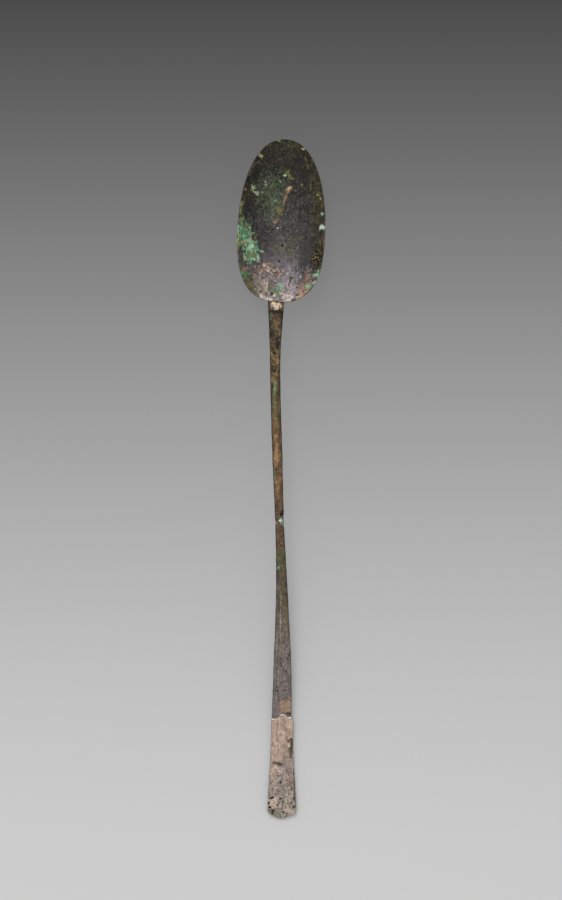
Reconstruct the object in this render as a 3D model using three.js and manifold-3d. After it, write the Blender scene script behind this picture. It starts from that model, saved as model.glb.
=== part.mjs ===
// A long-handled bronze spoon, lying face up as it rests on a table.
// Millimetres, +Z up. The bowl points to +Y and the handle ends at -Y.
// The bowl is dished from sheet. Its heel lies on a tongue of the handle, held by one rivet and by solder at the rim.
// The handle has broken twice and is mended, so it is three lengths with a fill in each break.
import * as THREE from "three";
import { mergeVertices } from "three/addons/utils/BufferGeometryUtils.js";
import Module from "manifold-3d";

const wasm = await Module();
wasm.setup();

// Bowl. Reaches are measured from its widest line, on the outside.
const bowlTipReach = 31.3;
const bowlHeelReach = 22.5;
const bowlHalfWidth = 14.5;
const bowlHeight = 7.8;
const bowlWall = 0.9;
const rimWall = 0.65;
const bowlLean = 2.4; // degrees to the right of the handle's line
const tipFullness = 2.2; // 2 is an ellipse, more is squarer
const heelFullness = 2.6;
const floorShare = 0.24; // of the way from the middle to the rim, flat
const dishing = 2; // how quickly the wall steepens outside the floor

// Handle, as sections from the heel of the bowl to the point. Each stands a distance after the one before,
// apart from the arch and the waist, which take the length that is left.
const handleLength = 170.8;
const neckWidth = 5.4;
const neckDepth = 2.4;
const neckSink = 0.2; // top of the neck below the rim
const shankAfter = 21;
const shankWidth = 3.4;
const shankDepth = 2.75;
const archShare = 0.57; // the highest place of the handle, on the way from the shank to the waist
const waistWidth = 2.95;
const waistDepth = 2.6;
const shoulderAfter = 26;
const shoulderWidth = 4.1;
const shoulderDepth = 2.5;
const bladeAfter = 22;
const bladeWidth = 5.9;
const bladeDepth = 2.2;
const flareAfter = 31;
const flareWidth = 7.25;
const endDepth = 1.5;
const endAfter = 17.4;
const endWidth = 9.05;
const pointAfter = 2.4; // the end thins over this
const pointDepth = 0.9;
const cornerLength = 1.8; // from the corners of the end to its blunt point
const pointOffset = -0.3;
const endRounding = 1.1;
const shankRounding = 0.85; // of the long edges
const bladeRounding = 0.6;
const endEdgeRounding = 0.35;
const bladeRidge = 0.25; // a low ridge along the top of the blade
const ridgeOffset = -0.5;

// The handle leaves the heel left of the bowl's middle and bends back to the right.
const heelOffset = -1.7;
const shankBend = -0.3;
const archBend = 0.4;
const waistBend = 1.15;
const shoulderBend = 1.95;
const bladeBend = 2.1;
const endBend = 1.65;

// Heights of its underside: how far it rises over the neck's, then how high it is over the table.
const shankRise = 0.5;
const archRise = 0.9;
const waistRise = 0.4;
const shoulderLift = 4.1;
const bladeLift = 2.3;

// Tongue under the bowl, and what holds it
const tongueLength = 10.8;
const tongueWidth = 3.6;
const tongueDepth = 0.7;
const tongueThinBy = 7;
const tongueRounding = 0.25;
const rivetFromEnd = 1.7;
const rivetRadius = 0.55;
const rivetHeadRadius = 0.95;
const rivetHeadHeight = 0.4;
const rivetTailHeight = 0.3;
const solderHalfWidth = 1.95;
const solderHalfLength = 1.6;
const solderHeight = 0.6;
const solderAt = 1.1; // its middle, from the heel
const seatGap = 0.03; // between pieces that sit on each other

// Mends. The upper fill is a wedge that opens to the right, the lower one follows a ragged break.
const upperMendAfterWaist = 0.4;
const upperMendThin = 0.5;
const upperMendRake = 0.75; // rise of its upper side to the bowl, for each millimetre to the right
const upperMendSpread = 0.33; // fall of its lower side
const chipFromMend = 2.6; // a chip out of the shank's right edge
const chipHalfLength = 1.5;
const chipWidth = 0.75;
const chipDepth = 0.8;
const endPieceLength = 33.8;
const lowerMendWidth = 0.5;
const fillRecess = 0.12;
const endShift = 0.25; // the last length is mended a little out of line
const endSpread = 0.5; // and it is wider than the blade that it joins
const breakLine = [
  { across: -2.2, along: 0.7 },
  { across: -1.2, along: 0.4 },
  { across: -0.6, along: -0.7 },
  { across: 0.7, along: -0.8 },
  { across: 1.6, along: 0.2 },
];

// Fineness
const bowlSides = 72;
const bowlRings = 10;
const lipSteps = 4;
const cornerSteps = 2;
const loftStep = 2.8;
const roundSides = 16;
const capSteps = 3; // over the dome of a rivet's head
const smallStep = 0.01; // to measure a slope with

function finish(colour, roughness, metalness) {
  return new THREE.MeshStandardMaterial({ color: colour, roughness, metalness });
}
const bowlBronze = finish(0x46423f, 0.45, 0.6);
const handleBronze = finish(0x6b5440, 0.6, 0.4);
const endBronze = finish(0x9a8576, 0.7, 0.3);
const rivetBronze = finish(0x7c4d38, 0.8, 0.2);
const solder = finish(0xb9a48f, 0.6, 0.4);
const fill = finish(0x7f8a72, 0.9, 0);

function solidOf(geometry) {
  const bare = geometry.index ? geometry.toNonIndexed() : geometry.clone();
  bare.deleteAttribute("normal");
  bare.deleteAttribute("uv");
  const merged = mergeVertices(bare);
  return new wasm.Manifold(
    new wasm.Mesh({
      numProp: 3,
      vertProperties: merged.attributes.position.array,
      triVerts: new Uint32Array(merged.index.array),
    }),
  );
}

function pieceOf(name, solid, material) {
  const made = solid.getMesh();
  const geometry = new THREE.BufferGeometry();
  geometry.setAttribute("position", new THREE.BufferAttribute(made.vertProperties, 3));
  geometry.setIndex(new THREE.BufferAttribute(made.triVerts, 1));
  geometry.computeVertexNormals();
  const piece = new THREE.Mesh(geometry, material);
  piece.name = name;
  return piece;
}

// Rings of the same number of points, joined into one closed surface with a fan over each end.
function skin(rings) {
  const sides = rings[0].length;
  const points = rings.flat();
  const faces = [];
  for (let r = 0; r + 1 < rings.length; r++) {
    for (let i = 0; i < sides; i++) {
      const a = r * sides + i;
      const b = r * sides + ((i + 1) % sides);
      faces.push(a, b, b + sides, a, b + sides, a + sides);
    }
  }
  for (const [ring, turned] of [[0, true], [rings.length - 1, false]]) {
    const middle = new THREE.Vector3();
    rings[ring].forEach((p) => middle.addScaledVector(p, 1 / sides));
    points.push(middle);
    for (let i = 0; i < sides; i++) {
      const a = ring * sides + i;
      const b = ring * sides + ((i + 1) % sides);
      faces.push(points.length - 1, turned ? b : a, turned ? a : b);
    }
  }
  const geometry = new THREE.BufferGeometry().setFromPoints(points);
  geometry.setIndex(faces);
  return geometry;
}

// Past the edges of anything that is cut or kept, to the sides, above and below.
const beyond = 2 * bowlHalfWidth;

// An upright prism of a plan outline, tall enough to pass through everything.
function prism(shape) {
  const geometry = new THREE.ExtrudeGeometry(shape, { depth: 2 * beyond, bevelEnabled: false });
  return solidOf(geometry.translate(0, 0, -beyond));
}

// Bowl

const lean = THREE.MathUtils.degToRad(bowlLean);

// A point of the bowl's own plan, along and across it, in the spoon's plan, where the heel is at y = 0.
function bowlPlan(along, across) {
  return {
    x: across * Math.cos(lean) + along * Math.sin(lean),
    y: bowlHeelReach + along * Math.cos(lean) - across * Math.sin(lean),
  };
}

// How far a plan point is from the middle (0) to the rim (1).
function bowlShare(x, y) {
  const up = y - bowlHeelReach;
  const along = up * Math.cos(lean) + x * Math.sin(lean);
  const across = x * Math.cos(lean) - up * Math.sin(lean);
  const fullness = along > 0 ? tipFullness : heelFullness;
  const reach = along > 0 ? bowlTipReach : bowlHeelReach;
  const sum = (Math.abs(along) / reach) ** fullness + (Math.abs(across) / bowlHalfWidth) ** fullness;
  return sum ** (1 / fullness);
}

// Height of the bowl's outside over the table.
function bowlOutside(x, y) {
  const past = Math.max(0, bowlShare(x, y) - floorShare) / (1 - floorShare);
  return bowlHeight * past ** dishing;
}

function bowlNormal(x, y) {
  const slopeX = (bowlOutside(x + smallStep, y) - bowlOutside(x - smallStep, y)) / (2 * smallStep);
  const slopeY = (bowlOutside(x, y + smallStep) - bowlOutside(x, y - smallStep)) / (2 * smallStep);
  return new THREE.Vector3(-slopeX, -slopeY, 1).normalize();
}

function wallAt(share) {
  return THREE.MathUtils.lerp(bowlWall, rimWall, THREE.MathUtils.smoothstep(share, 0.5, 1));
}

function powered(value, power) {
  return Math.sign(value) * Math.abs(value) ** power;
}

// The outside at an angle round the bowl and a share of the way out, moved inwards by a thickness.
function bowlPoint(angle, share, inwards) {
  const ahead = Math.cos(angle) > 0;
  const power = 2 / (ahead ? tipFullness : heelFullness);
  const reach = ahead ? bowlTipReach : bowlHeelReach;
  const along = share * reach * powered(Math.cos(angle), power);
  const across = share * bowlHalfWidth * powered(Math.sin(angle), power);
  const { x, y } = bowlPlan(along, across);
  return new THREE.Vector3(x, y, bowlOutside(x, y)).addScaledVector(bowlNormal(x, y), inwards);
}

function bowlRing(share, inwards) {
  return Array.from({ length: bowlSides }, (_, i) =>
    bowlPoint((-2 * Math.PI * i) / bowlSides, share, inwards),
  );
}

// From the edge of the floor to the rim.
const bowlShares = Array.from({ length: bowlRings + 1 }, (_, i) =>
  THREE.MathUtils.lerp(floorShare, 1, i / bowlRings),
);

// The rounded edge of the rim, from the outer surface over to the inner one.
function lipRing(turn) {
  const inner = bowlRing(1, rimWall);
  return bowlRing(1, 0).map((outer, i) => {
    const middle = outer.clone().lerp(inner[i], 0.5);
    const outwards = outer.sub(middle);
    middle.z += (rimWall / 2) * Math.sin(turn);
    return middle.addScaledVector(outwards, Math.cos(turn));
  });
}

function makeBowl() {
  const outside = bowlShares.map((share) => bowlRing(share, 0));
  const lip = Array.from({ length: lipSteps - 1 }, (_, i) => lipRing((Math.PI * (i + 1)) / lipSteps));
  const inside = bowlShares.map((share) => bowlRing(share, wallAt(share))).reverse();
  return solidOf(skin([...outside, ...lip, ...inside]));
}

// Everything inside the bowl's outside and straight above it, grown by the gap, to cut a seat for it.
function makeBowlForm() {
  const rings = bowlShares.map((share) => bowlRing(share, -seatGap));
  const top = rings.at(-1).map((p) => new THREE.Vector3(p.x, p.y, beyond));
  return solidOf(skin([...rings, top]));
}

// Handle

const neckLift = bowlHeight - neckSink - neckDepth;
const waistRun = handleLength - shankAfter - shoulderAfter - bladeAfter - flareAfter - endAfter - pointAfter;

// Width, depth, bend aside, height of the underside, rounding of the long edges and ridge of each section.
const sections = [
  {
    after: 0,
    width: neckWidth,
    depth: neckDepth,
    bend: 0,
    lift: neckLift,
    rounding: shankRounding,
    ridge: 0,
  },
  {
    after: shankAfter,
    width: shankWidth,
    depth: shankDepth,
    bend: shankBend,
    lift: neckLift + shankRise,
    rounding: shankRounding,
    ridge: 0,
  },
  {
    after: waistRun * archShare,
    width: shankWidth,
    depth: shankDepth,
    bend: archBend,
    lift: neckLift + archRise,
    rounding: shankRounding,
    ridge: 0,
  },
  {
    after: waistRun * (1 - archShare),
    width: waistWidth,
    depth: waistDepth,
    bend: waistBend,
    lift: neckLift + waistRise,
    rounding: shankRounding,
    ridge: 0,
  },
  {
    after: shoulderAfter,
    width: shoulderWidth,
    depth: shoulderDepth,
    bend: shoulderBend,
    lift: shoulderLift,
    rounding: bladeRounding,
    ridge: bladeRidge,
  },
  {
    after: bladeAfter,
    width: bladeWidth,
    depth: bladeDepth,
    bend: bladeBend,
    lift: bladeLift,
    rounding: bladeRounding,
    ridge: bladeRidge,
  },
  {
    after: flareAfter,
    width: flareWidth,
    depth: endDepth,
    bend: endBend,
    lift: 0,
    rounding: endEdgeRounding,
    ridge: 0,
  },
  {
    after: endAfter,
    width: endWidth,
    depth: endDepth,
    bend: endBend,
    lift: 0,
    rounding: endEdgeRounding,
    ridge: 0,
  },
  {
    after: pointAfter,
    width: endWidth,
    depth: pointDepth,
    bend: endBend,
    lift: 0,
    rounding: endEdgeRounding,
    ridge: 0,
  },
];

// Distances from the heel.
const places = sections.map((_, i) => sections.slice(0, i + 1).reduce((sum, s) => sum + s.after, 0));
const waistAt = shankAfter + waistRun;
const upperMendAt = waistAt + upperMendAfterWaist;
const lowerMendAt = handleLength - endPieceLength;
const rivetAt = tongueLength - rivetFromEnd;

// A smooth value along the handle that never swings past its sections.
function smooth(distance, key) {
  const last = sections.length - 1;
  const at = THREE.MathUtils.clamp(distance, 0, handleLength);
  const i = Math.min(last - 1, places.findLastIndex((place) => place <= at));
  const rise = (j) => (sections[j + 1][key] - sections[j][key]) / sections[j + 1].after;
  const slope = (j) => {
    if (j === 0 || j === last) return rise(Math.min(j, last - 1));
    const product = rise(j - 1) * rise(j);
    return product <= 0 ? 0 : (2 * product) / (rise(j - 1) + rise(j));
  };
  const span = sections[i + 1].after;
  const t = (at - places[i]) / span;
  const ease = t * t * (3 - 2 * t);
  return (
    sections[i][key] * (1 - ease) +
    sections[i + 1][key] * ease +
    span * (slope(i) * t * (1 - t) ** 2 + slope(i + 1) * t * t * (t - 1))
  );
}

// The handle's shape at a distance from the heel or, where that is negative, the tongue's under the bowl.
function handleAt(distance) {
  const middle = heelOffset + smooth(distance, "bend");
  const bottom = smooth(distance, "lift");
  const shape = {
    middle,
    bottom,
    top: bottom + smooth(distance, "depth"),
    width: smooth(distance, "width"),
    rounding: smooth(distance, "rounding"),
    ridge: smooth(distance, "ridge"),
  };
  if (distance >= 0) return shape;
  const thinned = THREE.MathUtils.smoothstep(-distance, 0, tongueThinBy);
  const under = THREE.MathUtils.lerp(neckSink + neckDepth, tongueDepth, thinned);
  return {
    ...shape,
    bottom: bowlOutside(middle, -distance) - under,
    width: THREE.MathUtils.lerp(neckWidth, tongueWidth, -distance / tongueLength),
    rounding: THREE.MathUtils.lerp(shankRounding, tongueRounding, thinned),
  };
}

// A rounded rectangle across the handle, with its top raised in a low ridge.
function section(distance, inset, shift, spread) {
  const { middle, bottom, top, width, rounding, ridge } = handleAt(distance);
  const half = (width + spread) / 2 - inset;
  const radius = Math.min(rounding, (top - bottom) / 2 - inset, half);
  const ring = [];
  for (const [side, up] of [[1, -1], [1, 1], [-1, 1], [-1, -1]]) {
    const x = middle + shift + side * (half - radius);
    const z = up > 0 ? top - inset - radius : bottom + inset + radius;
    const start = Math.atan2(up, side) - Math.PI / 4;
    for (let i = 0; i <= cornerSteps; i++) {
      const angle = start + (Math.PI / 2) * (i / cornerSteps);
      ring.push(new THREE.Vector3(x + radius * Math.cos(angle), -distance, z + radius * Math.sin(angle)));
    }
    const afterTopRight = side > 0 && up > 0;
    if (afterTopRight) {
      ring.push(new THREE.Vector3(middle + shift + ridgeOffset, -distance, top - inset + ridge));
    }
  }
  return ring;
}

function loft(from, to, { inset = 0, shift = 0, spread = 0 } = {}) {
  const marks = [from, ...places.filter((place) => place > from && place < to), to];
  const distances = marks.slice(0, -1).flatMap((start, i) => {
    const length = marks[i + 1] - start;
    const steps = Math.ceil(length / loftStep);
    return Array.from({ length: steps }, (_, k) => start + (length * k) / steps);
  });
  return solidOf(skin([...distances, to].map((d) => section(d, inset, shift, spread))));
}

// Everything between two lines across the handle, each a list of points from left to right.
function between(upper, lower) {
  const outline = [...upper, ...lower.toReversed()];
  return prism(new THREE.Shape(outline.map((p) => new THREE.Vector2(p.across, -p.along))));
}

function levelLine(distance) {
  return [-beyond, beyond].map((across) => ({ across, along: distance }));
}

function moved(line, distance) {
  return line.map((p) => ({ across: p.across, along: p.along + distance }));
}

// Seen from above, the tongue tapers to a round end, and the handle goes on below the heel.
function makeTongueTemplate() {
  const radius = tongueWidth / 2;
  const outline = new THREE.Shape();
  outline.moveTo(heelOffset + neckWidth / 2, 0);
  outline.lineTo(heelOffset + radius, tongueLength - radius);
  outline.absarc(heelOffset, tongueLength - radius, radius, 0, Math.PI, false);
  outline.lineTo(heelOffset - neckWidth / 2, 0);
  outline.lineTo(-beyond, 0);
  outline.lineTo(-beyond, -handleLength);
  outline.lineTo(beyond, -handleLength);
  outline.lineTo(beyond, 0);
  return prism(outline);
}

// The end comes to a blunt point between rounded corners.
function makeEndTemplate() {
  const middle = heelOffset + endBend + endShift;
  const left = middle - (endWidth + endSpread) / 2;
  const right = middle + (endWidth + endSpread) / 2;
  const point = middle + pointOffset;
  const corner = -(handleLength - cornerLength);
  const slant = (cornerLength * endRounding) / (right - point);
  const outline = new THREE.Shape();
  outline.moveTo(left, 0);
  outline.lineTo(left, corner + endRounding);
  outline.quadraticCurveTo(left, corner, left + endRounding, corner - slant);
  outline.quadraticCurveTo(point - endRounding, -handleLength, point, -handleLength);
  outline.quadraticCurveTo(point + endRounding, -handleLength, right - endRounding, corner - slant);
  outline.quadraticCurveTo(right, corner, right, corner + endRounding);
  outline.lineTo(right, 0);
  return prism(outline);
}

// A chip out of the right edge, above the upper mend.
function makeChip() {
  const { middle, top, width } = handleAt(upperMendAt - chipFromMend);
  const chip = new THREE.SphereGeometry(1, roundSides, roundSides / 2);
  chip.scale(chipWidth, chipHalfLength, chipDepth);
  return solidOf(chip.translate(middle + width / 2, -(upperMendAt - chipFromMend), top));
}

// The two sides of each break, the one nearer the bowl first.
const mendLeft = heelOffset + waistBend - waistWidth / 2;
const mendReach = beyond - mendLeft;
const upperBreak = [
  { across: -beyond, along: upperMendAt },
  { across: mendLeft, along: upperMendAt },
  { across: beyond, along: upperMendAt - upperMendRake * mendReach },
];
const upperBreakBelow = [
  { across: -beyond, along: upperMendAt + upperMendThin },
  { across: mendLeft, along: upperMendAt + upperMendThin },
  { across: beyond, along: upperMendAt + upperMendThin + upperMendSpread * mendReach },
];
const bladeMiddle = heelOffset + bladeBend;
const lowerBreak = [
  { across: -beyond, along: lowerMendAt + breakLine[0].along },
  ...breakLine.map((p) => ({ across: p.across + bladeMiddle, along: p.along + lowerMendAt })),
  { across: beyond, along: lowerMendAt + breakLine.at(-1).along },
];
const lowerBreakBelow = moved(lowerBreak, lowerMendWidth);

// A rivet square to the bowl's wall, its head inside the bowl and its tail under the tongue.
function makeRivet(grow) {
  const x = heelOffset;
  const y = rivetAt;
  const slope = bowlNormal(x, y);
  const tongueUnder = (bowlOutside(x, y) - handleAt(-y).bottom) * slope.z;
  const head = wallAt(bowlShare(x, y)) + seatGap - grow;
  const tail = -tongueUnder - seatGap + grow;
  const dome = (base, height) =>
    Array.from({ length: capSteps + 1 }, (_, i) => {
      const turn = (Math.PI / 2) * (i / capSteps);
      return new THREE.Vector2((rivetHeadRadius + grow) * Math.cos(turn), base + height * Math.sin(turn));
    });
  const profile = [
    ...dome(tail, -rivetTailHeight - grow).reverse(),
    new THREE.Vector2(rivetRadius + grow, tail),
    new THREE.Vector2(rivetRadius + grow, head),
    ...dome(head, rivetHeadHeight + grow),
  ];
  const geometry = new THREE.LatheGeometry(profile, roundSides);
  const turn = new THREE.Quaternion().setFromUnitVectors(new THREE.Vector3(0, 1, 0), slope);
  geometry.applyQuaternion(turn).translate(x, y, bowlOutside(x, y));
  return solidOf(geometry);
}

// A lump over the corner between the rim and the top of the neck.
function makeSolder() {
  const lump = new THREE.SphereGeometry(1, roundSides, roundSides / 2);
  lump.scale(solderHalfWidth, solderHalfLength, solderHeight);
  lump.translate(heelOffset, -solderAt, neckLift + neckDepth);
  const neck = loft(-tongueLength, shankAfter, { inset: -seatGap });
  return solidOf(lump).subtract(bowlForm).subtract(neck);
}

const bowlForm = makeBowlForm();
const rivetHole = makeRivet(seatGap);
const bowl = makeBowl().subtract(rivetHole);
const shankUpper = loft(-tongueLength, lowerMendAt)
  .intersect(between(levelLine(-beyond), upperBreak))
  .intersect(makeTongueTemplate())
  .subtract(bowlForm)
  .subtract(rivetHole)
  .subtract(makeChip());
const upperFill = loft(shankAfter, lowerMendAt, { inset: fillRecess })
  .intersect(between(moved(upperBreak, seatGap), moved(upperBreakBelow, -seatGap)));
const shankLower = loft(shankAfter, handleLength)
  .intersect(between(upperBreakBelow, lowerBreak));
const lowerFill = loft(waistAt, handleLength, { inset: fillRecess, shift: endShift / 2 })
  .intersect(between(moved(lowerBreak, seatGap), moved(lowerBreakBelow, -seatGap)));
const handleEnd = loft(waistAt, handleLength, { shift: endShift, spread: endSpread })
  .intersect(between(lowerBreakBelow, levelLine(handleLength + beyond)))
  .intersect(makeEndTemplate());

const spoon = new THREE.Group();
spoon.add(
  pieceOf("bowl", bowl, bowlBronze),
  pieceOf("shank_upper", shankUpper, handleBronze),
  pieceOf("bowl_rivet", makeRivet(0), rivetBronze),
  pieceOf("joint_solder", makeSolder(), solder),
  pieceOf("mend_upper", upperFill, fill),
  pieceOf("shank_lower", shankLower, handleBronze),
  pieceOf("mend_lower", lowerFill, fill),
  pieceOf("handle_end", handleEnd, endBronze),
);

// The origin goes under the middle of the whole spoon, at table height.
const bounds = new THREE.Box3().setFromObject(spoon);
const centre = bounds.getCenter(new THREE.Vector3());
spoon.position.set(-centre.x, -centre.y, -bounds.min.z);

export default spoon;
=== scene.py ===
import math
from collections import namedtuple

import bmesh
import bpy
import numpy as np
from mathutils import Matrix, Vector


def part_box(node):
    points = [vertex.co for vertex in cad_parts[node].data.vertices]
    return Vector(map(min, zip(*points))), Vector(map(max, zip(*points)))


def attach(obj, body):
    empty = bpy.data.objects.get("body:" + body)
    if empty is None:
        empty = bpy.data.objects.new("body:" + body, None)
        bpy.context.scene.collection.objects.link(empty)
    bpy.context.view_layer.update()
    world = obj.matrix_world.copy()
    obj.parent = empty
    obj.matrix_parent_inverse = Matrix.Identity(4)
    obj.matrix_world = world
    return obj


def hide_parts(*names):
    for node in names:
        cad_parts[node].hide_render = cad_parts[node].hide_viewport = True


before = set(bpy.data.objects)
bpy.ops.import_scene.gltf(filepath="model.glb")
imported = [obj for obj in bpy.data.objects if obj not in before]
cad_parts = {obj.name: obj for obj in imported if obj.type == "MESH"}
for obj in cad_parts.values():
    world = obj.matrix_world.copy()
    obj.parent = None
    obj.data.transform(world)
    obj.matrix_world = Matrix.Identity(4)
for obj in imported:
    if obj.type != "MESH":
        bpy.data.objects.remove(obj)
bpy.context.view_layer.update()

MM = 0.001

# Where the photograph shows the spoon, in its pixels to the right and down
PHOTO_HEIGHT = 900
PHOTO_MIDDLE = 281
SPOON_MIDDLE = 281.2
SPOON_TOP = 140
PIXELS_PER_MM = 3.0235
TIP_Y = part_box("bowl")[1].y / MM

# Bowl, with the sizes of the CAD part
TIP_REACH = 31.3
HEEL_REACH = 22.5
HALF_WIDTH = 14.5
BOWL_HEIGHT = 7.8
BOWL_WALL = 0.9
RIM_WALL = 0.65
LEAN = math.radians(2.4)
TIP_FULLNESS = 2.2
HEEL_FULLNESS = 2.6
FLOOR_SHARE = 0.24
DISHING = 2
THINNING_FROM = 0.5  # share of the way to the rim where the wall starts to thin
BOWL_SIDES = 560
BOWL_RINGS = 100
LIP_STEPS = 6
SLOPE_STEP = 0.01

# Spacing of the fine meshes of the other pieces, and how many times their edges are smoothed
HANDLE_SPACING = 0.16
SMALL_SPACING = 0.08
HANDLE_WEAR = 4
SMALL_WEAR = 3
WELD_GAP = 0.001

# Noise, relief and the edges of patches
LATTICE = 64  # cells that the noise has before it repeats
NOISE_LAYERS = 3
EDGE_GRAIN = 0.8
GRIT_GRAIN = 0.38
GRIT_IN_EDGE = 0.6
GRIT_FLOOR = 0.45  # what the grit leaves of a patch where it breaks it most
GRIT_RANGE = (-0.5, 0.1)  # grit at which a patch is broken most, and at which it is whole
RAGGED = 0.5  # how far noise moves the edge of a patch
PATCH_EDGE = (0.7, 1.15)  # shares of its reach between which a patch fades out
SPECK_EDGE = 0.15  # noise between the edge of a speck and its whole part
CRUST_LIFT = 0.07
PIT_LIFT = -0.14
SINK = -0.05  # the worn surface lies this far under the CAD one
SCRIBBLE_LIFT = 0.05
# Upward part of the surface's direction from the underside to the photographed side, and from a side
# to the top, over which the painted shade on the sides fades out
FACING_RANGE = (-0.1, 0.3)
SIDE_SHADE_RANGE = (0.25, 0.9)

# Materials
PLAIN_ROUGH = 0.5
PLAIN_METAL = 0.5
SPECULAR = 0.3
EVEN_GRAIN = (0.25, 0.25, 0.25)
STROKE_GRAIN = (0.12, 2.5, 0.4)
GRAIN_DETAIL = 3
GRAIN_LOW = 0.3  # noise where the grain is darkest
GRAIN_HIGH = 0.7  # noise where the grain is lightest

# How strongly fine grit changes the bowl's colour everywhere, and what its upper part and heel add
GRIT_CONTRAST = 0.1
UPPER_CONTRAST = 0.24
HEEL_CONTRAST = 0.1

# The sRGB curve from a colour on a screen to linear light
SRGB_KNEE = 0.04045
SRGB_SLOPE = 12.92
SRGB_OFFSET = 0.055
SRGB_POWER = 2.4
BYTE = 255
WHITE = (1, 1, 1, 1)

# Stage, with the lamp and the floor in metres
SKY_STRENGTH = 0.62
KEY_POWER = 8
KEY_SIZE = 0.7
KEY_PLACE = (-0.3, 0.75, 0.95)
FLOOR_SIZE = 6
FLOOR_DROP = 0.0001
# Share of the floor's look that a shadow doesn't darken, and the places between which it changes
END_GLOW = 0.1
BOWL_GLOW = 0.85
END_GLOW_Y = -0.1
BOWL_GLOW_Y = 0.03
LENS = 200
SENSOR = 36
FOCUS_HEIGHT = 4
# Backdrop: a plain sweep of grey, out of 255, from the bottom of the frame to the top, painted as
# light that falls off towards the top
BACKDROP_BOTTOM = 211
BACKDROP_TOP = 75
BACKDROP_BEND = 1.54  # above 1, more of the change is in the upper part
BACKDROP_STEPS = 18

Tone = namedtuple("Tone", "colour rough metal lift")
# A rough-edged oval in pixels of the photograph: its middle, its whole width and height, its tone,
# its turn in degrees, clockwise, and how strongly it covers.
Patch = namedtuple("Patch", "right down wide high tone turn strength", defaults=(0, 1))


def rgb(code):
    return np.array([code >> 16, code >> 8 & BYTE, code & BYTE]) / BYTE


# A crust stands up from the bare surface, a stain lies level with it and a pit is sunk in it.


def crust(code):
    return Tone(rgb(code), rough=0.85, metal=0, lift=CRUST_LIFT)


def stain(code):
    return Tone(rgb(code), rough=0.6, metal=0.3, lift=0)


def pit(code):
    return Tone(rgb(code), rough=0.9, metal=0.2, lift=PIT_LIFT)


TONES = {
    "black": stain(0x1E1B17),
    "charcoal": stain(0x3A3739),
    "hole": pit(0x120F0D),
    "underside": stain(0x4A3F30),
    "dark olive": stain(0x39382A),
    "olive": stain(0x55522F),
    "olive grey": stain(0x605C48),
    "olive dust": stain(0x8A8562),
    "umber": stain(0x4A3826),
    "purple grey": stain(0x756A6C),
    "pale purple": stain(0xA59A9C),
    "gold": stain(0xB49C62),
    "gold tan": stain(0xA48A56),
    "tan": stain(0xA08560),
    "tan olive": stain(0x7E6C46),
    "tan pink": stain(0xB08F74),
    "tan pale": crust(0xAE8E76),
    "pink tan": crust(0x9A7A70),
    "brown pink": stain(0x8C6E60),
    "rust": stain(0x8C4E34),
    "rust dull": stain(0x8E6044),
    "orange": crust(0xBA8A64),
    "orange brown": stain(0x6E5038),
    "ochre": stain(0x8E7448),
    "ochre green": crust(0x757040),
    "yellow": crust(0xC6BC5E),
    "lichen": crust(0xB0B478),
    "pale lichen": crust(0xBCC8A0),
    "yellow green": crust(0x848E52),
    "yellow green dull": crust(0x69693C),
    "moss": stain(0x56604A),
    "green dull": crust(0x587350),
    "dark green": stain(0x3A4A34),
    "emerald": crust(0x3F8C66),
    "teal": crust(0x2A8478),
    "verdigris": crust(0x629875),
    "mint": crust(0x9CC4A0),
    "mint dull": crust(0x76A880),
    "grey mint": crust(0x8BA48C),
    "white mint": crust(0xD0E2CC),
    "cream": crust(0xDCC4A2),
    "pink cream": crust(0xC9B09C),
    "pink white": crust(0xCDBDB8),
    "grey white": stain(0xA9A398),
    "grey green": stain(0x7C7C66),
    "white": crust(0xE6E2DA),
}

# Pixel columns or rows between which a part of the look begins or ends
STROKE_COLUMNS = (262, 292)
STROKE_ROWS = (185, 215)
UPPER_ROWS = (225, 265)
HEEL_ROWS = (262, 270)
WALL_COLUMNS = (304, 314)
# The crusted left side of the heel ends along a slanting line: columns less this share of the row
CRUST_SLANT = 0.5
CRUST_COLUMNS = (105, 122)
NECK_ROWS = (365, 405)
POINT_ROWS = (758, 775)

# Colours of the bare surfaces, at the pixel rows between which they change
# The bowl runs from dark at its tip to light at its heel. This is partly its patina, partly painted
# shade on the wall that faces away from the light and painted light on the wall that faces it.
BOWL_COLOURS_AND_SHADING = (
    (140, 0x2E2D25),
    (175, 0x2F2E29),
    (205, 0x383634),
    (235, 0x403D3E),
    (260, 0x504B4E),
    (280, 0x6F686B),
    (303, 0x908684),
)
UPPER_COLOURS = (
    (303, 0x7A6450),
    (312, 0x44372B),
    (335, 0x463929),
    (347, 0x5C4932),
    (372, 0x6A5439),
    (395, 0x5C4C36),
    (420, 0x685239),
    (470, 0x735B41),
    (515, 0x6B533F),
)
LOWER_COLOURS = (
    (526, 0x64503F),
    (548.5, 0x665240),
    (549.5, 0x565239),
    (565, 0x58523F),
    (576, 0x5C5143),
    (620, 0x6C6157),
    (650, 0x776D68),
    (716, 0x7D7370),
)
END_COLOURS = (
    (719, 0xB59E8E),
    (755, 0xAE9788),
    (768, 0xAA958A),
    (790, 0x998A82),
    (818, 0x93897C),
)
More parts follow.
